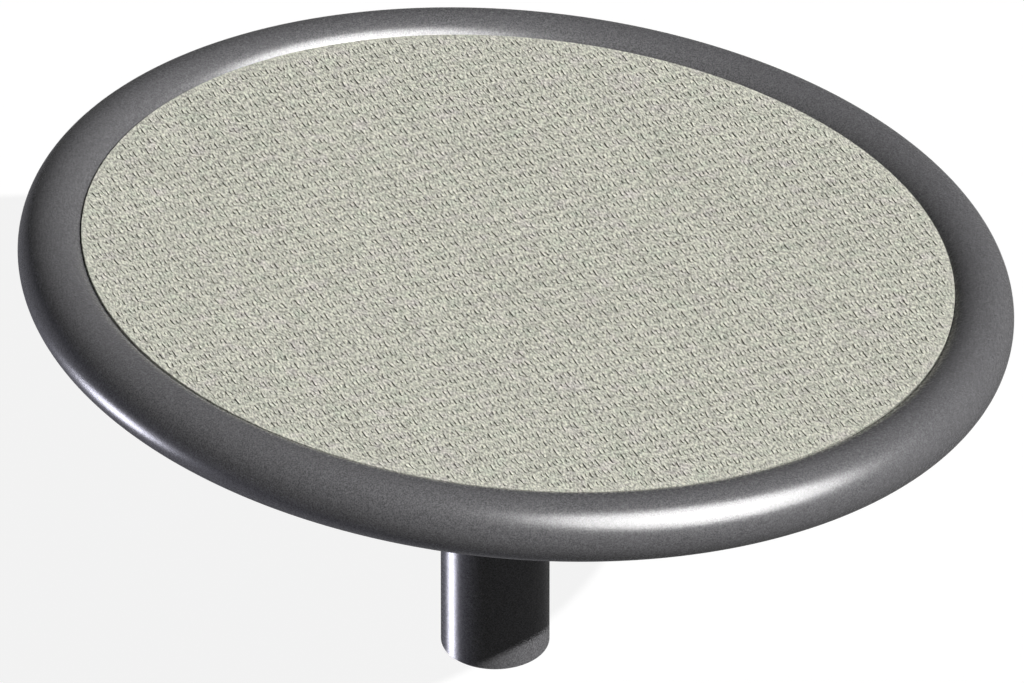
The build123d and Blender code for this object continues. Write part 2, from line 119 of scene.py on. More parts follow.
class Finish:
    """A material that is put together from noise in the part's own coordinates."""

    def __init__(self, name, colour, roughness, metallic=0.0, shine=0.5):
        self.material = bpy.data.materials.new(name)
        self.material.use_nodes = True
        self.tree = self.material.node_tree
        self.shader = self.tree.nodes["Principled BSDF"]
        self.shader.inputs["Base Color"].default_value = (*colour, 1)
        self.shader.inputs["Roughness"].default_value = roughness
        self.shader.inputs["Metallic"].default_value = metallic
        self.shader.inputs["Specular IOR Level"].default_value = shine
        self.place = self.tree.nodes.new("ShaderNodeTexCoord").outputs["Object"]
        self.colour = None
        self.base = colour
        self.height = None

    def node(self, kind, **values):
        """A node with some of its properties set."""
        made = self.tree.nodes.new(kind)
        for name, value in values.items():
            setattr(made, name, value)
        return made

    def link(self, source, target):
        """Joins an output to an input."""
        self.tree.links.new(source, target)

    def moved(self, scale=(1, 1, 1), turn=(0, 0, 0), place=None):
        """The part's coordinates, stretched and turned."""
        mapping = self.node("ShaderNodeMapping")
        mapping.inputs["Scale"].default_value = scale
        mapping.inputs["Rotation"].default_value = turn
        self.link(place or self.place, mapping.inputs["Vector"])
        return mapping.outputs["Vector"]

    def noise(self, size, detail=2.0, place=None):
        """Noise from 0 to 1 with features of about that size, in metres."""
        made = self.node("ShaderNodeTexNoise")
        made.inputs["Scale"].default_value = 1 / size
        made.inputs["Detail"].default_value = detail
        self.link(place or self.place, made.inputs["Vector"])
        return made.outputs["Fac"]

    def cells(self, size):
        """Distances in a pattern of cells of about that size, in metres."""
        made = self.node("ShaderNodeTexVoronoi")
        made.inputs["Scale"].default_value = 1 / size
        self.link(self.place, made.inputs["Vector"])
        return made.outputs["Distance"]

    def spread(self, source, low, high, new_low=0.0, new_high=1.0):
        """A value taken from one range to another, and kept in it."""
        made = self.node("ShaderNodeMapRange")
        made.inputs["From Min"].default_value = low
        made.inputs["From Max"].default_value = high
        made.inputs["To Min"].default_value = new_low
        made.inputs["To Max"].default_value = new_high
        self.link(source, made.inputs["Value"])
        return made.outputs["Result"]

    def product(self, first, second):
        """Two values multiplied."""
        return calculated(self.tree, "MULTIPLY", first, second)

    def tint(self, share, colour, blend="MIX"):
        """Lays a colour over what is there, by a share that varies over the surface."""
        mix = self.node("ShaderNodeMix", data_type="RGBA", blend_type=blend)
        self.link(share, mix.inputs["Factor"])
        if self.colour is None:
            mix.inputs["A"].default_value = (*self.base, 1)
        else:
            self.link(self.colour, mix.inputs["A"])
        mix.inputs["B"].default_value = (*colour, 1)
        self.colour = mix.outputs["Result"]
        self.link(self.colour, self.shader.inputs["Base Color"])

    def rough(self, source, low, high):
        """Roughness that follows a value from 0 to 1."""
        self.link(self.spread(source, 0, 1, low, high), self.shader.inputs["Roughness"])

    def relief(self, source, depth):
        """Bump of a depth in metres, on top of what bump there is."""
        bump = self.node("ShaderNodeBump")
        bump.inputs["Distance"].default_value = depth
        self.link(source, bump.inputs["Height"])
        if self.height is not None:
            self.link(self.height, bump.inputs["Normal"])
        self.height = bump.outputs["Normal"]
        self.link(self.height, self.shader.inputs["Normal"])

    def edges(self, radius):
        """1 on sharp edges and 0 on flats, from how far a rounded normal turns away."""
        rounded = self.node("ShaderNodeBevel", samples=EDGE_SAMPLES)
        rounded.inputs["Radius"].default_value = radius
        true_normal = self.node("ShaderNodeNewGeometry").outputs["Normal"]
        dot = self.node("ShaderNodeVectorMath", operation="DOT_PRODUCT")
        self.link(rounded.outputs["Normal"], dot.inputs[0])
        self.link(true_normal, dot.inputs[1])
        return self.spread(dot.outputs["Value"], *EDGE_COSINES)


def scaled(colour, share):
    """A colour made darker or paler."""
    return tuple(channel * share for channel in colour)


COAT_COLOUR = (0.121, 0.120, 0.126)
COAT_ROUGHNESS = 0.27
COAT_SHINE = 0.30
COAT_CLOUD = 0.12
COAT_GRAIN = 0.0013
COAT_GRAIN_DEPTH = 0.00006
COAT_SPECK = 0.0006
COAT_SPECK_DEPTH = 0.00002
COAT_EDGE = 0.0012
COAT_RUBBED_PATCH = 0.006
COAT_RUBBED_SHARE = 0.35
COAT_RUBBED_COLOUR = (0.42, 0.42, 0.43)
COAT_SHEEN_PATCH = 0.004


def powder_coat(name, colour, roughness):
    """Powder-coated steel: fine grain, faint clouds and paler rubbed edges."""
    finish = Finish(name, colour, roughness, shine=COAT_SHINE)
    clouds = finish.noise(COAT_CLOUD, 2.0)
    grain = finish.noise(COAT_GRAIN, 1.0, finish.moved(turn=ASKEW))
    finish.tint(finish.spread(clouds, 0.30, 0.80), scaled(colour, 1.06))
    finish.tint(finish.spread(grain, 0.48, 0.72), scaled(colour, 1.5))
    finish.tint(finish.spread(grain, 0.52, 0.28), scaled(colour, 0.58))
    patches = finish.spread(finish.noise(COAT_RUBBED_PATCH, 3.0), 0.50, 0.66)
    rubbed = finish.product(finish.edges(COAT_EDGE), patches)
    finish.tint(finish.product(rubbed, COAT_RUBBED_SHARE), COAT_RUBBED_COLOUR)
    finish.rough(finish.noise(COAT_SHEEN_PATCH, 2.0), roughness - 0.03, roughness + 0.03)
    finish.relief(finish.noise(COAT_SPECK, 0.0), COAT_SPECK_DEPTH)
    finish.relief(grain, COAT_GRAIN_DEPTH)
    return finish.material


STEEL_MARK = 0.0012
STEEL_MARK_DEPTH = 0.00002
STEEL_STAIN = 0.012


def steel(name, colour, roughness, stretch=(1, 1, 1)):
    """Bare or plated steel with faint tool marks and stains."""
    finish = Finish(name, colour, roughness, metallic=1.0)
    marks = finish.noise(STEEL_MARK, 2.0, finish.moved(stretch))
    finish.tint(finish.spread(finish.noise(STEEL_STAIN, 4.0), 0.45, 0.75), scaled(colour, 0.72))
    finish.tint(finish.spread(marks, 0.5, 0.8), scaled(colour, 1.1))
    finish.rough(marks, roughness - 0.08, roughness + 0.12)
    finish.relief(marks, STEEL_MARK_DEPTH)
    return finish.material


DUST_PATCH = 0.02
MOULD_SHEEN_PATCH = 0.005
MOULD_GRAIN_DEPTH = 0.00005
SEAL_GRAIN = 0.0009
CAP_GRAIN = 0.0012


def moulded(name, colour, roughness, grain):
    """Plastic or rubber with a fine moulded grain and a little dust."""
    finish = Finish(name, colour, roughness)
    finish.tint(finish.spread(finish.noise(DUST_PATCH, 4.0), 0.5, 0.8), scaled(colour, 1.8))
    finish.rough(finish.noise(MOULD_SHEEN_PATCH, 2.0), roughness - 0.08, roughness + 0.08)
    finish.relief(finish.noise(grain, 2.0), MOULD_GRAIN_DEPTH)
    return finish.material


CAST_CLOUD = 0.05
CAST_EDGE = 0.0015
CAST_RUBBED_SHARE = 0.4
CAST_RUBBED_COLOUR = (0.35, 0.35, 0.36)
CAST_SHEEN_PATCH = 0.008
CAST_PIT = 0.0022
CAST_PIT_DEPTH = 0.00035


def cast_paint(name, colour):
    """Paint over a sand casting: pitted, uneven and dull."""
    finish = Finish(name, colour, 0.5, shine=0.3)
    finish.tint(finish.spread(finish.noise(CAST_CLOUD, 4.0), 0.35, 0.7), scaled(colour, 1.3))
    finish.tint(finish.product(finish.edges(CAST_EDGE), CAST_RUBBED_SHARE), CAST_RUBBED_COLOUR)
    finish.rough(finish.noise(CAST_SHEEN_PATCH, 3.0), 0.42, 0.6)
    finish.relief(finish.noise(CAST_PIT, 4.0), CAST_PIT_DEPTH)
    return finish.material


GRIT_GRAIN = 0.0015
GRIT_GRAIN_DEPTH = 0.0006
GRIT_STRETCH_SHARE = 0.4
GRIT_CELL = 0.0011
GRIT_CELL_DEPTH = 0.00015
GRIT_PATCH = 0.02
GRIT_BAND = 0.05
GRIT_BAND_TURN = math.radians(28)
GRIT_BAND_SHARE = 0.22
GRIT_BAND_TINT = (0.97, 0.97, 0.97)
GRIT_WARM_TINT = (1.02, 0.98, 1.05)
GRIT_COOL_TINT = (0.95, 0.99, 0.97)
# Painted shade: the tint and the cosines below darken the steep flanks of the tread bars
GRIT_FLANK_PAINTED_SHADE = (0.56, 0.56, 0.56)
GRIT_PAINTED_SHADE_COSINES = (0.80, 0.55)


def grit(name, colour):
    """Pale gritted deck: grain combed along the bars, faint patches and bands, and painted shade on steep
    flanks.
    """
    finish = Finish(name, colour, 0.75, shine=0.25)
    along_bars = finish.moved(turn=(0, 0, -BAR_TILT))
    combed = finish.moved((1, GRIT_STRETCH_SHARE, 1), place=along_bars)
    grains = finish.noise(GRIT_GRAIN, 1.0, finish.moved(turn=ASKEW, place=combed))
    finish.tint(finish.spread(grains, 0.52, 0.32), scaled(colour, 0.45))
    finish.tint(finish.spread(grains, 0.52, 0.70), scaled(colour, 1.47))
    patches = finish.noise(GRIT_PATCH, 2.0)
    finish.tint(finish.spread(patches, 0.54, 0.74), GRIT_WARM_TINT, "MULTIPLY")
    finish.tint(finish.spread(patches, 0.46, 0.26), GRIT_COOL_TINT, "MULTIPLY")
    bands = finish.noise(GRIT_BAND, 1.0, finish.moved((1, GRIT_BAND_SHARE, 1), (0, 0, GRIT_BAND_TURN)))
    finish.tint(finish.spread(bands, 0.40, 0.66), GRIT_BAND_TINT, "MULTIPLY")
    # Painted shade: surfaces that turn away from the spin axis, the steep flanks of the bars, are darkened in
    # the colour
    facing = finish.node("ShaderNodeVectorMath", operation="DOT_PRODUCT")
    facing.inputs[1].default_value = disc_z
    finish.link(finish.node("ShaderNodeNewGeometry").outputs["True Normal"], facing.inputs[0])
    finish.tint(finish.spread(facing.outputs["Value"], *GRIT_PAINTED_SHADE_COSINES), GRIT_FLANK_PAINTED_SHADE, "MULTIPLY")
    finish.rough(grains, 0.68, 0.85)
    finish.relief(finish.cells(GRIT_CELL), GRIT_CELL_DEPTH)
    finish.relief(grains, GRIT_GRAIN_DEPTH)
    return finish.material


BOARD_FLECK = 0.004
BOARD_SHEEN_PATCH = 0.01
BOARD_GRAIN = 0.002
BOARD_GRAIN_DEPTH = 0.0001


def board(name, colour):
    """Pressed board: dark brown faces with flecks."""
    finish = Finish(name, colour, 0.55, shine=0.2)
    flecks = finish.noise(BOARD_FLECK, 3.0, finish.moved((1, 3, 1)))
    finish.tint(finish.spread(flecks, 0.5, 0.72), scaled(colour, 1.7))
    finish.rough(finish.noise(BOARD_SHEEN_PATCH, 2.0), 0.45, 0.65)
    finish.relief(finish.noise(BOARD_GRAIN, 2.0), BOARD_GRAIN_DEPTH)
    return finish.material


finishes = {
    "rim_paint": powder_coat("rim_paint", COAT_COLOUR, COAT_ROUGHNESS),
    "post_paint": powder_coat("post_paint", COAT_COLOUR, COAT_ROUGHNESS),
    "spider_paint": powder_coat("spider_paint", (0.100, 0.101, 0.105), 0.42),
    "hub_paint": cast_paint("hub_paint", (0.085, 0.086, 0.090)),
    "deck_grit": grit("deck_grit", (0.539, 0.540, 0.463)),
    "deck_board": board("deck_board", (0.045, 0.036, 0.028)),
    "axle_steel": steel("axle_steel", (0.50, 0.50, 0.51), 0.32, (1, 1, 8)),
    "bearing_steel": steel("bearing_steel", (0.62, 0.62, 0.63), 0.16),
    "cage_brass": steel("cage_brass", (0.62, 0.45, 0.20), 0.32),
    "spring_steel": steel("spring_steel", (0.10, 0.10, 0.105), 0.38),
    "zinc_steel": steel("zinc_steel", (0.52, 0.53, 0.55), 0.42),
    "insert_brass": steel("insert_brass", (0.60, 0.44, 0.20), 0.36),
    "seal_rubber": moulded("seal_rubber", (0.012, 0.012, 0.012), 0.6, SEAL_GRAIN),
    "cap_plastic": moulded("cap_plastic", (0.02, 0.02, 0.02), 0.45, CAP_GRAIN),
}

for part in frame["record"]["subparts"]:
    for material_slot in frame["nodes"][part["node"]].material_slots:
        material_slot.link = "OBJECT"
        material_slot.material = finishes[part["material_slot"]]


# Pieces


def piece(name, verts, faces, body, slot, smooth=True):
    """A new mesh piece in the row frame, finished as a slot and riding on a body."""
    mesh = bpy.data.meshes.new(name)
    mesh.from_pydata([tuple(vert) for vert in verts], [], faces)
    mesh.validate()
    mesh.materials.append(finishes[slot])
    if smooth:
        mesh.shade_smooth()
    made = bpy.data.objects.new(name, mesh)
    bpy.context.scene.collection.objects.link(made)
    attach(made, body)
    return made


def grid_faces(rings, ring_size, start=0, closed=True, flip=False):
    """Quads over rings of points, where each ring goes right round."""
    faces = []
    for ring in range(rings if closed else rings - 1):
        here = start + ring * ring_size
        there = start + (ring + 1) % rings * ring_size
        for step in range(ring_size):
            after = (step + 1) % ring_size
            face = (here + step, there + step, there + after, here + after)
            faces.append(face[::-1] if flip else face)
    return faces


def torus_points(rings, ring_size, radius):
    """Points of a torus on the rim's centre line."""
    points = []
    for ring in range(rings):
        angle = 2 * math.pi * ring / rings
        for step in range(ring_size):
            turn = 2 * math.pi * step / ring_size
            points.append(around(angle, RIM_RADIUS + radius * math.cos(turn), radius * math.sin(turn)))
    return points


RIM_RINGS = 320
RIM_RING_POINTS = 72
BORE_RINGS = 160
BORE_RING_POINTS = 36
DRILL_SIDES = 24


def make_rim():
    """The rim's tube as a smooth hollow ring with its drain hole."""
    verts = torus_points(RIM_RINGS, RIM_RING_POINTS, TUBE_RADIUS)
    faces = grid_faces(RIM_RINGS, RIM_RING_POINTS)
    faces += grid_faces(BORE_RINGS, BORE_RING_POINTS, len(verts), flip=True)
    verts += torus_points(BORE_RINGS, BORE_RING_POINTS, TUBE_RADIUS - TUBE_WALL)
    rim = piece("rim_shell", verts, faces, "disc", "rim_paint")
    drill = drill_at(around(0.0, RIM_RADIUS, -TUBE_RADIUS), DRAIN_RADIUS, 2 * TUBE_WALL)
    cut(rim, drill)
    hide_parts("rim_tube")


def drill_at(middle, radius, half_length):
    """A round cutter along the spin axis."""
    mesh = bpy.data.meshes.new("drill")
    shape = bmesh.new()
    turned = Matrix.Translation(middle) @ disc_matrix.to_3x3().to_4x4()
    bmesh.ops.create_cone(
        shape,
        cap_ends=True,
        segments=DRILL_SIDES,
        radius1=radius,
        radius2=radius,
        depth=2 * half_length,
        matrix=turned,
    )
    shape.to_mesh(mesh)
    shape.free()
    drill = bpy.data.objects.new("drill", mesh)
    bpy.context.scene.collection.objects.link(drill)
    return drill


def cut(target, cutter):
    """Takes a cutter's shape out of a piece, and the cutter out of the scene."""
    modifier = target.modifiers.new("cut", "BOOLEAN")
    modifier.operation = "DIFFERENCE"
    modifier.solver = "EXACT"
    modifier.object = cutter
    graph = bpy.context.evaluated_depsgraph_get()
    mesh = bpy.data.meshes.new_from_object(target.evaluated_get(graph))
    target.modifiers.clear()
    target.data = mesh
    bpy.data.objects.remove(cutter)


make_rim()


# Tread: short raised bars, three to a step, in rows of two kinds over the whole deck

TREAD_STEP = (0.01363, -0.00081)
TREAD_ROW = (-0.00075, 0.01612)
TREAD_EDGE = 0.4035
TREAD_SPARE = 4
TREAD_SEED = 7
BARS_PER_STEP = 3
ROW_LENGTH_SHARES = ((1.0, 0.80, 0.70), (0.66, 1.20, 0.40))
ROW_HEIGHT_SHARES = ((1.0, 0.80, 0.65), (0.85, 1.0, 0.35))
ROW_SHIFTS = ((0.0, -0.0014, 0.0015), (0.0015, 0.0, 0.0))
BAR_LENGTH = 0.0085
BAR_WIDTH = 0.0032
BAR_HEIGHT = 0.0011
BAR_BEVEL = 0.0003
BAR_RAMP = 0.0026
BAR_SUNK = 0.0001
BAR_CORNERS = 6
BAR_POINT_SHARE = 0.4
BAR_SHIFT = 0.0002
BAR_TURN = math.radians(4)
LENGTH_SHARES = (0.85, 1.12)
HEIGHT_SHARES = (0.70, 1.15)


def bar_outline(half_length, left, right):
    """Corners of a bar with pointed ends, between its left and its right side."""
    middle = (left + right) / 2
    shoulder = half_length - (right - left) * BAR_POINT_SHARE
    return [
        (right, -shoulder),
        (right, shoulder),
        (middle, half_length),
        (left, shoulder),
        (left, -shoulder),
        (middle, -half_length),
    ]


def bar_points(spot, length, height, tilt):
    """Corners of a bar: its sunk base, then its top, with a steep left side and a ramp on the right."""
    left = -BAR_WIDTH / 2
    right = BAR_WIDTH / 2
    base = bar_outline(length / 2, left, right)
    top = bar_outline(length / 2 - BAR_BEVEL, left + BAR_BEVEL, right - BAR_RAMP)
    points = []
    for outline, level in ((base, DECK_TOP - BAR_SUNK), (top, DECK_TOP + height)):
        for x, y in outline:
            along_x = spot[0] + x * math.cos(tilt) - y * math.sin(tilt)
            along_y = spot[1] + x * math.sin(tilt) + y * math.cos(tilt)
            points.append((along_x, along_y, level))
    return points


def bar_faces(start):
    """Underside, top and flanks of a bar whose corners are numbered from start."""
    top = start + BAR_CORNERS
    faces = [
        tuple(start + corner for corner in reversed(range(BAR_CORNERS))),
        tuple(top + corner for corner in range(BAR_CORNERS)),
    ]
    for corner in range(BAR_CORNERS):
        after = (corner + 1) % BAR_CORNERS
        faces.append((start + corner, start + after, top + after, top + corner))
    return faces


def tread_bars():
    """Middle, length and height of every bar, as x, y, length, height."""
    reach = int(TREAD_EDGE / TREAD_STEP[0]) + TREAD_SPARE
    bars = []
    for row in range(-reach, reach + 1):
        for column in range(-reach * BARS_PER_STEP, reach * BARS_PER_STEP + 1):
            kind = (column - row // 2) % BARS_PER_STEP
            steps = column / BARS_PER_STEP
            length = BAR_LENGTH * ROW_LENGTH_SHARES[row % 2][kind]
            height = BAR_HEIGHT * ROW_HEIGHT_SHARES[row % 2][kind]
            shift = ROW_SHIFTS[row % 2][kind]
            x = steps * TREAD_STEP[0] + row * TREAD_ROW[0] - shift * math.sin(BAR_TILT)
            y = steps * TREAD_STEP[1] + row * TREAD_ROW[1] + shift * math.cos(BAR_TILT)
            if math.hypot(x, y) < TREAD_EDGE - length / 2:
                bars.append((x, y, length, height))
    return np.array(bars)


def make_tread():
    """All bars of the deck as one mesh, each a closed block."""
    random = np.random.default_rng(TREAD_SEED)
    bars = tread_bars()
    count = len(bars)
    spots = bars[:, :2] + random.normal(0, BAR_SHIFT, (count, 2))
    lengths = bars[:, 2] * random.uniform(*LENGTH_SHARES, count)
    heights = bars[:, 3] * random.uniform(*HEIGHT_SHARES, count)
    tilts = random.normal(BAR_TILT, BAR_TURN, count)
    points = []
    faces = []
    for spot, length, height, tilt in zip(spots, lengths, heights, tilts):
        faces += bar_faces(len(points))
        points += bar_points(spot, length, height, tilt)
    verts = [in_disc(*point) for point in points]
    tread = piece("deck_tread", verts, faces, "disc", "deck_grit", smooth=False)
    map_from_above(tread, np.array(points))


MAP_MIDDLE_SHARE = 0.49
MAP_REACH_SHARE = 0.48
BURIED_MIDDLE_SHARE = 0.985
BURIED_REACH_SHARE = 0.01


def map_from_above(tread, points):
    """Texture map for baking: the bars as seen from above, with their buried faces put in a corner."""
    layer = tread.data.uv_layers.new(name="OFBake")
    flat_points = points[:, :2] / TREAD_EDGE
    places = MAP_MIDDLE_SHARE + MAP_REACH_SHARE * flat_points
    buried = BURIED_MIDDLE_SHARE + BURIED_REACH_SHARE * flat_points
    spread = np.zeros((len(tread.data.loops), 2))
    for face in tread.data.polygons:
        corners = list(face.vertices)
        is_buried = all(corner % (2 * BAR_CORNERS) < BAR_CORNERS for corner in corners)
        spread[list(face.loop_indices)] = (buried if is_buried else places)[corners]
    layer.uv.foreach_set("vector", spread.ravel())


make_tread()


# Arms: oblong tube with rounded corners, cut to the spider ring and to the rim's tube

ARM_WALL = 0.003
ARM_CORNER = 0.005
ARM_CORNER_STEPS = 5
ARM_SHARP_ANGLE = math.radians(50)
UNDER_ARM_SHARES = (-0.6, -0.4, -0.2, 0.0, 0.2, 0.4, 0.6)


def arm_outline(inset, corner):
    """A rounded section from the upper right corner round, as across, level and the angle that faces out."""
    half = ARM_HALF_WIDTH - inset - corner
    top = ARM_TOP - inset - corner
    bottom = ARM_BOTTOM + inset + corner
    outline = []
    for quarter, (across, level) in enumerate([(half, top), (-half, top), (-half, bottom), (half, bottom)]):
        for step in range(ARM_CORNER_STEPS + 1):
            turn = (quarter + step / ARM_CORNER_STEPS) * math.pi / 2
            outline.append((across + corner * math.cos(turn), level + corner * math.sin(turn), turn))
    return outline


def make_arm(index):
    """One arm as a hollow shell."""
    angle = arm_angles[index]
    verts = []
    for inset, corner in ((0.0, ARM_CORNER), (ARM_WALL, ARM_CORNER - ARM_WALL)):
        for at_rim in (False, True):
            for across, level, _ in arm_outline(inset, corner):
                reach = rim_wall(level) if at_rim else SPIDER_RING_RADIUS
                verts.append(around(angle, math.sqrt(reach**2 - across**2), level, across))
    size = len(verts) // 4
    faces = []
    for step in range(size):
        after = (step + 1) % size
        outer, outer_end, inner, inner_end = (loop * size for loop in range(4))
        faces.append((outer + step, outer_end + step, outer_end + after, outer + after))
        faces.append((inner + after, inner_end + after, inner_end + step, inner + step))
        faces.append((outer + after, inner + after, inner + step, outer + step))
        faces.append((outer_end + step, inner_end + step, inner_end + after, outer_end + after))
    arm = piece(f"arm_{index + 1}_tube", verts, faces, "disc", "spider_paint")
    arm.data.set_sharp_from_angle(angle=ARM_SHARP_ANGLE)
    normals = arm.modifiers.new("normals", "WEIGHTED_NORMAL")
    normals.keep_sharp = True
    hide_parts(f"spider_arm_{index + 1}")


for index in range(ARM_COUNT):
    make_arm(index)


# Weld beads: rippled runs in the corners between the welded parts

BEAD_RADIUS = 0.0035
HEAD_BEAD_RADIUS = 0.0026
HEAD_BEAD_RISE_SHARE = 0.5
BEAD_RIPPLE = 0.0024
RIPPLE_STEPS = 4
RIPPLE_SHARE = 0.10
SWEEP_SHARE = 0.35
BEAD_SIDES = 10
BEAD_END = 0.004
BEAD_END_SHARE = 0.35
LONG_WOBBLE = 0.011
SHORT_WOBBLE = 0.0047
WOBBLE_SHARE = 0.07
RUN_PHASE = 1.7
ROUND_STEPS = 90
LEDGE_STITCH = 0.032
LEDGE_STITCH_TURNS = (-0.30, 0.0, 0.30)
STITCH_POINTS = 7


def unit_rows(rows):
    """Rows of a table made one long."""
    return rows / np.linalg.norm(rows, axis=1, keepdims=True)


def resampled(points, outwards, closed):
    """A run of points at even steps, with the direction out of the corner at each."""
    points = np.array([tuple(point) for point in points])
    outwards = np.array([tuple(outward) for outward in outwards])
    if closed:
        points = np.vstack([points, points[:1]])
        outwards = np.vstack([outwards, outwards[:1]])
    reached = np.concatenate([[0.0], np.cumsum(np.linalg.norm(np.diff(points, axis=0), axis=1))])
    count = max(round(reached[-1] / BEAD_RIPPLE), 2) * RIPPLE_STEPS
    wanted = np.linspace(0.0, reached[-1], count, endpoint=not closed)
    place = np.column_stack([np.interp(wanted, reached, points[:, axis]) for axis in range(3)])
    outward = np.column_stack([np.interp(wanted, reached, outwards[:, axis]) for axis in range(3)])
    return wanted, place, unit_rows(outward)


def bead_rings(points, outwards, closed, radius, phase):
    """Rings of a rippled bead, swept back in the middle as a pool of metal sets."""
    wanted, place, outward = resampled(points, outwards, closed)
    before = np.roll(place, 1, axis=0)
    after = np.roll(place, -1, axis=0)
    if not closed:
        before[0] = place[0]
        after[-1] = place[-1]
    forward = unit_rows(after - before)
    side = unit_rows(np.cross(forward, outward))
    outward = np.cross(side, forward)
    ripple = 0.5 - 0.5 * np.cos(2 * math.pi * wanted / BEAD_RIPPLE)
    wobble = np.sin(wanted / LONG_WOBBLE + phase) + np.sin(wanted / SHORT_WOBBLE + 2 * phase)
    size = radius * (1 + RIPPLE_SHARE * ripple + WOBBLE_SHARE * wobble)
    if not closed:
        ends = np.minimum(wanted, wanted[-1] - wanted) / BEAD_END
        size = size * (BEAD_END_SHARE + (1 - BEAD_END_SHARE) * np.sqrt(np.clip(ends, 0, 1)))
    rings = []
    for step in range(BEAD_SIDES):
        turn = 2 * math.pi * step / BEAD_SIDES
        swept = place - forward * (radius * SWEEP_SHARE * max(math.cos(turn), 0.0))
        rings.append(swept + (outward * math.cos(turn) + side * math.sin(turn)) * size[:, None])
    return np.stack(rings, axis=1)


def make_beads(name, runs, body, slot, radius=BEAD_RADIUS, closed=False):
    """One piece out of several bead runs, each given as points and the directions out of the corner."""
    verts = []
    faces = []
    for number, (points, outwards) in enumerate(runs):
        rings = bead_rings(points, outwards, closed, radius, RUN_PHASE * number)
        start = len(verts)
        verts += rings.reshape(-1, 3).tolist()
        faces += grid_faces(len(rings), BEAD_SIDES, start, closed)
        if not closed:
            last = start + (len(rings) - 1) * BEAD_SIDES
            faces.append(tuple(start + step for step in range(BEAD_SIDES)))
            faces.append(tuple(last + step for step in reversed(range(BEAD_SIDES))))
    piece(name, verts, faces, body, slot)


def in_direction(angle):
    """Unit direction away from the spin axis."""
    return (around(angle, 1, 0) - in_disc(0, 0, 0)).normalized()


def across_direction(angle):
    """Unit direction around the spin axis."""
    return (around(angle, 0, 0, 1) - in_disc(0, 0, 0)).normalized()


def under_arm():
    """Down one side of an arm's section, under it and up the other, as across, level and the way out."""
    shoulder = ARM_TOP - ARM_CORNER
    outline = arm_outline(0.0, ARM_CORNER)
    corners = [(across, level, math.cos(turn), math.sin(turn)) for across, level, turn in outline]
    corner_size = ARM_CORNER_STEPS + 1
    places = [(-ARM_HALF_WIDTH, shoulder, -1.0, 0.0)]
    places += corners[2 * corner_size : 3 * corner_size]
    places += [(share * ARM_HALF_WIDTH, ARM_BOTTOM, 0.0, -1.0) for share in UNDER_ARM_SHARES]
    places += corners[3 * corner_size :]
    places.append((ARM_HALF_WIDTH, shoulder, 1.0, 0.0))
    return places


def arm_to_rim_run(angle):
    """Round an arm's sides and underside, where it meets the rim's tube."""
    points = []
    outwards = []
    for across, level, aside, upward in under_arm():
        along = math.sqrt(rim_wall(level) ** 2 - across**2)
        points.append(around(angle, along, level, across))
        outwards.append(across_direction(angle) * aside + disc_z * upward - in_direction(angle))
    return points, outwards


def straight_run(start, end, outward):
    """A run between two points."""
    return [start, end], [outward, outward]


def ledge_runs(angle):
    """Short runs under a ledge: three along the rim's tube and one against each arm."""
    runs = []
    radius = rim_wall(LEDGE_BOTTOM)
    for middle in LEDGE_STITCH_TURNS:
        shares = np.linspace(-0.5, 0.5, STITCH_POINTS)
        turns = [angle + middle + LEDGE_STITCH / radius * share for share in shares]
        points = [around(turn, radius, LEDGE_BOTTOM) for turn in turns]
        runs.append((points, [-in_direction(turn) - disc_z for turn in turns]))
    for side in (-1, 1):
        arm = angle + side * math.pi / ARM_COUNT
        outward = across_direction(arm) * -side - disc_z
        inner = around(arm, radius - LEDGE_WIDTH, LEDGE_BOTTOM, -side * ARM_HALF_WIDTH)
        outer = around(arm, radius - BEAD_RADIUS, LEDGE_BOTTOM, -side * ARM_HALF_WIDTH)
        runs.append(straight_run(inner, outer, outward))
    return runs


def plate_runs(angle):
    """Runs between an arm and the spider plate: under the arm at the plate's edge, and along both sides."""
    runs = []
    start = around(angle, SPIDER_PLATE_RADIUS, ARM_BOTTOM, -ARM_HALF_WIDTH + BEAD_RADIUS)
    end = around(angle, SPIDER_PLATE_RADIUS, ARM_BOTTOM, ARM_HALF_WIDTH - BEAD_RADIUS)
    runs.append(straight_run(start, end, in_direction(angle) - disc_z))
    for side in (-1, 1):
        inner = around(angle, SPIDER_RING_RADIUS, ARM_BOTTOM, side * ARM_HALF_WIDTH)
        outer = around(angle, SPIDER_PLATE_RADIUS - 2 * BEAD_RADIUS, ARM_BOTTOM, side * ARM_HALF_WIDTH)
        runs.append(straight_run(inner, outer, across_direction(angle) * side + disc_z))
    return runs


def head_run():
    """All round the slanting joint between the post and its head plate."""
    points = []
    outwards = []
    for step in range(ROUND_STEPS):
        angle = 2 * math.pi * step / ROUND_STEPS
        x = POST_RADIUS * math.cos(angle)
        y = POST_RADIUS * math.sin(angle)
        below = HEAD_BOTTOM - (x - disc_centre.x) * disc_z.x
        points.append(Vector((x, y, disc_centre.z + below / disc_z.z)))
        outwards.append(Vector((math.cos(angle), math.sin(angle), HEAD_BEAD_RISE_SHARE)))
    return points, outwards


def flange_run():
    """All round the axle's flange on the head plate."""
    turns = [2 * math.pi * step / ROUND_STEPS for step in range(ROUND_STEPS)]
    points = [around(turn, AXLE_FLANGE_RADIUS, FLANGE_BOTTOM) for turn in turns]
    return points, [in_direction(turn) + disc_z for turn in turns]


rim_runs = [arm_to_rim_run(angle) for angle in arm_angles]
all_ledge_runs = [run for angle in bay_angles for run in ledge_runs(angle)]
all_plate_runs = [run for angle in arm_angles for run in plate_runs(angle)]
make_beads("weld_arms_to_rim", rim_runs, "disc", "spider_paint")
make_beads("weld_ledges", all_ledge_runs, "disc", "spider_paint")
make_beads("weld_spider_plate", all_plate_runs, "disc", "spider_paint")
make_beads("weld_post_head", [head_run()], "post", "post_paint", HEAD_BEAD_RADIUS, closed=True)
make_beads("weld_axle_flange", [flange_run()], "post", "post_paint", closed=True)


# Broken and rounded edges on the parts that have none in their plain solids

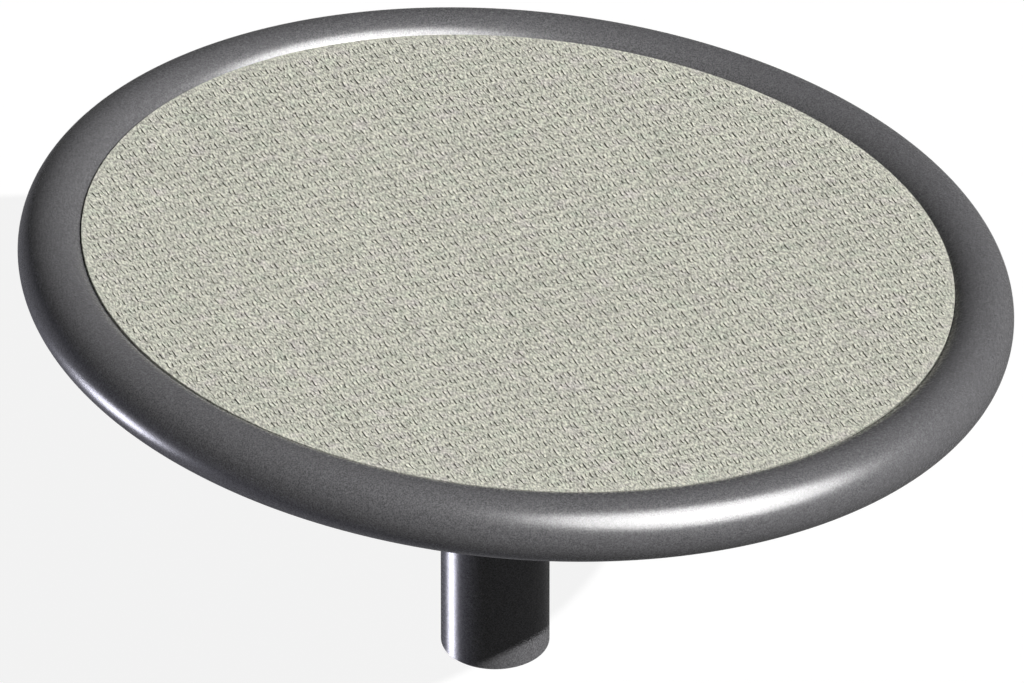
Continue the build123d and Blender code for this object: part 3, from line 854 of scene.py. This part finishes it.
EDGE_WIDTHS = {
    "post_tube": 0.0006,
    "head_plate": 0.0008,
    "foot_plate": 0.0006,
    "spider_plate": 0.0010,
    "spider_ring": 0.0006,
    "hub_housing": 0.0014,
    "hub_bolts": 0.0005,
    "hub_nuts": 0.0005,
    "hub_washers": 0.0003,
    "deck_bolts": 0.0004,
    "deck_washers": 0.0002,
    "deck_panel": 0.0005,
    "deck_surface": 0.0005,
}
LEDGE_EDGE_WIDTH = 0.0008
MERGE_GAP = 0.000002
EDGE_SEGMENTS = 2
EDGE_ANGLE = math.radians(40)
FACE_WEIGHT = 100


def round_edges(part, width):
    """Rounds a solid's sharp edges and keeps the shading of its curved and flat faces."""
    weld = part.modifiers.new("join", "WELD")
    weld.merge_threshold = MERGE_GAP
    bevel = part.modifiers.new("edges", "BEVEL")
    bevel.width = width
    bevel.segments = EDGE_SEGMENTS
    bevel.limit_method = "ANGLE"
    bevel.angle_limit = EDGE_ANGLE
    normals = part.modifiers.new("normals", "WEIGHTED_NORMAL")
    normals.weight = FACE_WEIGHT


for name, width in EDGE_WIDTHS.items():
    round_edges(frame["nodes"][name], width)
for index in range(ARM_COUNT):
    round_edges(frame["nodes"][f"deck_ledge_{index + 1}"], LEDGE_EDGE_WIDTH)


# Stage: white floor that keeps a soft shadow, white surroundings, lamps and camera

VIEW_AZIMUTH = math.radians(-34.6)
VIEW_ELEVATION = math.radians(34.638)
VIEW_LENS_MM = 1000
VIEW_SENSOR_MM = 36
VIEW_WIDTH = 0.9570
VIEW_CENTRE = (0.0157, 0.2772)
VIEW_REACH = 200

SKY_STRENGTH = 0.045
SKY_COLOUR = (0.93, 0.96, 1.0, 1)
CEILING_FADE = (0.05, 0.30)
CEILING_SHARE = 0.12
MIRRORED_SHARE = 0.07
WHITE = (1, 1, 1, 1)

FLOOR_HALF = 30.0
FLOOR_LEVEL = -0.0005
FLOOR_LIT_SHARE = 0.13
FLOOR_GLOW = 0.885

KEY_TOWARD = (0.6475, 0.2745, 0.7109)
KEY_COLOUR = (1.0, 0.995, 0.985)
KEY_STRENGTH = 4.4
KEY_SPREAD = math.radians(0.8)
SOFTBOX_STRENGTH = 23.0
SOFTBOX_SPREAD = math.radians(57.0)
SECOND_TOWARD = (-0.791, -0.335, -0.512)
SECOND_COLOUR = (0.86, 0.86, 1.0)
SECOND_STRENGTH = 2.85
SECOND_SPREAD = math.radians(14.0)
LAMP_DISTANCE = 3

view_right = Vector((math.cos(VIEW_AZIMUTH), math.sin(VIEW_AZIMUTH), 0))
view_back = Vector(
    (
        math.sin(VIEW_AZIMUTH) * math.cos(VIEW_ELEVATION),
        -math.cos(VIEW_AZIMUTH) * math.cos(VIEW_ELEVATION),
        math.sin(VIEW_ELEVATION),
    )
)
view_up = view_back.cross(view_right)


def mixed(tree, share, first, second):
    """A shader that goes from the first to the second by a share."""
    mix = tree.nodes.new("ShaderNodeMixShader")
    tree.links.new(share, mix.inputs["Fac"])
    tree.links.new(first, mix.inputs[1])
    tree.links.new(second, mix.inputs[2])
    return mix.outputs[0]


def to_background(tree, plain, white):
    """White for the camera, a share of it in reflections, and the plain shader for the light it gives."""
    path = tree.nodes.new("ShaderNodeLightPath")
    mirrored = calculated(tree, "MAXIMUM", path.outputs["Is Glossy Ray"], path.outputs["Is Transmission Ray"])
    dimmed = calculated(tree, "MULTIPLY", mirrored, MIRRORED_SHARE)
    return mixed(tree, calculated(tree, "MAXIMUM", path.outputs["Is Camera Ray"], dimmed), plain, white)


def make_world():
    """White surroundings that give little light, under a ceiling that reflections see as dim."""
    world = bpy.data.worlds.new("surroundings")
    world.use_nodes = True
    tree = world.node_tree
    plain = tree.nodes["Background"]
    plain.inputs["Color"].default_value = SKY_COLOUR
    plain.inputs["Strength"].default_value = SKY_STRENGTH
    up = tree.nodes.new("ShaderNodeSeparateXYZ")
    tree.links.new(tree.nodes.new("ShaderNodeTexCoord").outputs["Generated"], up.inputs[0])
    fade = tree.nodes.new("ShaderNodeMapRange")
    fade.inputs["From Min"].default_value = CEILING_FADE[0]
    fade.inputs["From Max"].default_value = CEILING_FADE[1]
    fade.inputs["To Min"].default_value = 1.0
    fade.inputs["To Max"].default_value = CEILING_SHARE
    tree.links.new(up.outputs["Z"], fade.inputs["Value"])
    seen = tree.nodes.new("ShaderNodeLightPath").outputs["Is Camera Ray"]
    white = tree.nodes.new("ShaderNodeBackground")
    white.inputs["Color"].default_value = WHITE
    tree.links.new(calculated(tree, "MAXIMUM", fade.outputs["Result"], seen), white.inputs["Strength"])
    shown = to_background(tree, plain.outputs[0], white.outputs[0])
    tree.links.new(shown, tree.nodes["World Output"].inputs["Surface"])
    bpy.context.scene.world = world


def floor_material():
    """White from above: the lit share takes the shadow and a glow makes up the rest. Clear from below."""
    material = bpy.data.materials.new("floor")
    material.use_nodes = True
    tree = material.node_tree
    tree.nodes.remove(tree.nodes["Principled BSDF"])
    lit = tree.nodes.new("ShaderNodeBsdfDiffuse")
    lit.inputs["Color"].default_value = (FLOOR_LIT_SHARE, FLOOR_LIT_SHARE, FLOOR_LIT_SHARE, 1)
    glowing = tree.nodes.new("ShaderNodeEmission")
    glowing.inputs["Strength"].default_value = FLOOR_GLOW
    both = tree.nodes.new("ShaderNodeAddShader")
    tree.links.new(lit.outputs[0], both.inputs[0])
    tree.links.new(glowing.outputs[0], both.inputs[1])
    shown = to_background(tree, lit.outputs[0], both.outputs[0])
    clear = tree.nodes.new("ShaderNodeBsdfTransparent")
    clear.inputs["Color"].default_value = WHITE
    from_below = tree.nodes.new("ShaderNodeNewGeometry").outputs["Backfacing"]
    surface = mixed(tree, from_below, shown, clear.outputs[0])
    tree.links.new(surface, tree.nodes["Material Output"].inputs["Surface"])
    return material


def make_floor():
    """A wide floor that shades nothing, so that the second lamp can shine from below its level."""
    corners = [(-1, -1), (1, -1), (1, 1), (-1, 1)]
    verts = [(x * FLOOR_HALF, y * FLOOR_HALF, FLOOR_LEVEL) for x, y in corners]
    mesh = bpy.data.meshes.new("floor")
    mesh.from_pydata(verts, [], [tuple(range(len(verts)))])
    mesh.materials.append(floor_material())
    floor = bpy.data.objects.new("floor", mesh)
    bpy.context.scene.collection.objects.link(floor)
    floor.visible_shadow = False


def make_sun(name, toward, colour, strength, spread, for_gloss_only=False):
    """A far lamp that shines from a direction given as right, up and back in the camera's view."""
    data = bpy.data.lights.new(name, "SUN")
    data.energy = strength
    data.color = colour
    data.angle = spread
    lamp = bpy.data.objects.new(name, data)
    bpy.context.scene.collection.objects.link(lamp)
    direction = view_right * toward[0] + view_up * toward[1] + view_back * toward[2]
    lamp.rotation_euler = direction.to_track_quat("Z", "Y").to_euler()
    lamp.location = direction.normalized() * LAMP_DISTANCE
    lamp.visible_diffuse = not for_gloss_only


def make_camera():
    """A long lens far away, because the photograph shows no perspective."""
    data = bpy.data.cameras.new("camera")
    data.sensor_width = VIEW_SENSOR_MM
    data.lens = VIEW_LENS_MM
    data.clip_end = VIEW_REACH
    camera = bpy.data.objects.new("camera", data)
    bpy.context.scene.collection.objects.link(camera)
    distance = VIEW_WIDTH / VIEW_SENSOR_MM * VIEW_LENS_MM
    camera.location = view_right * VIEW_CENTRE[0] + view_up * VIEW_CENTRE[1] + view_back * distance
    camera.rotation_mode = "QUATERNION"
    camera.rotation_quaternion = view_back.to_track_quat("Z", "Y")
    bpy.context.scene.camera = camera


make_world()
make_floor()
make_sun("key", KEY_TOWARD, KEY_COLOUR, KEY_STRENGTH, KEY_SPREAD)
make_sun("key_softbox", KEY_TOWARD, KEY_COLOUR, SOFTBOX_STRENGTH, SOFTBOX_SPREAD, for_gloss_only=True)
make_sun("second", SECOND_TOWARD, SECOND_COLOUR, SECOND_STRENGTH, SECOND_SPREAD)
make_camera()
bpy.context.scene.view_settings.view_transform = "Standard"
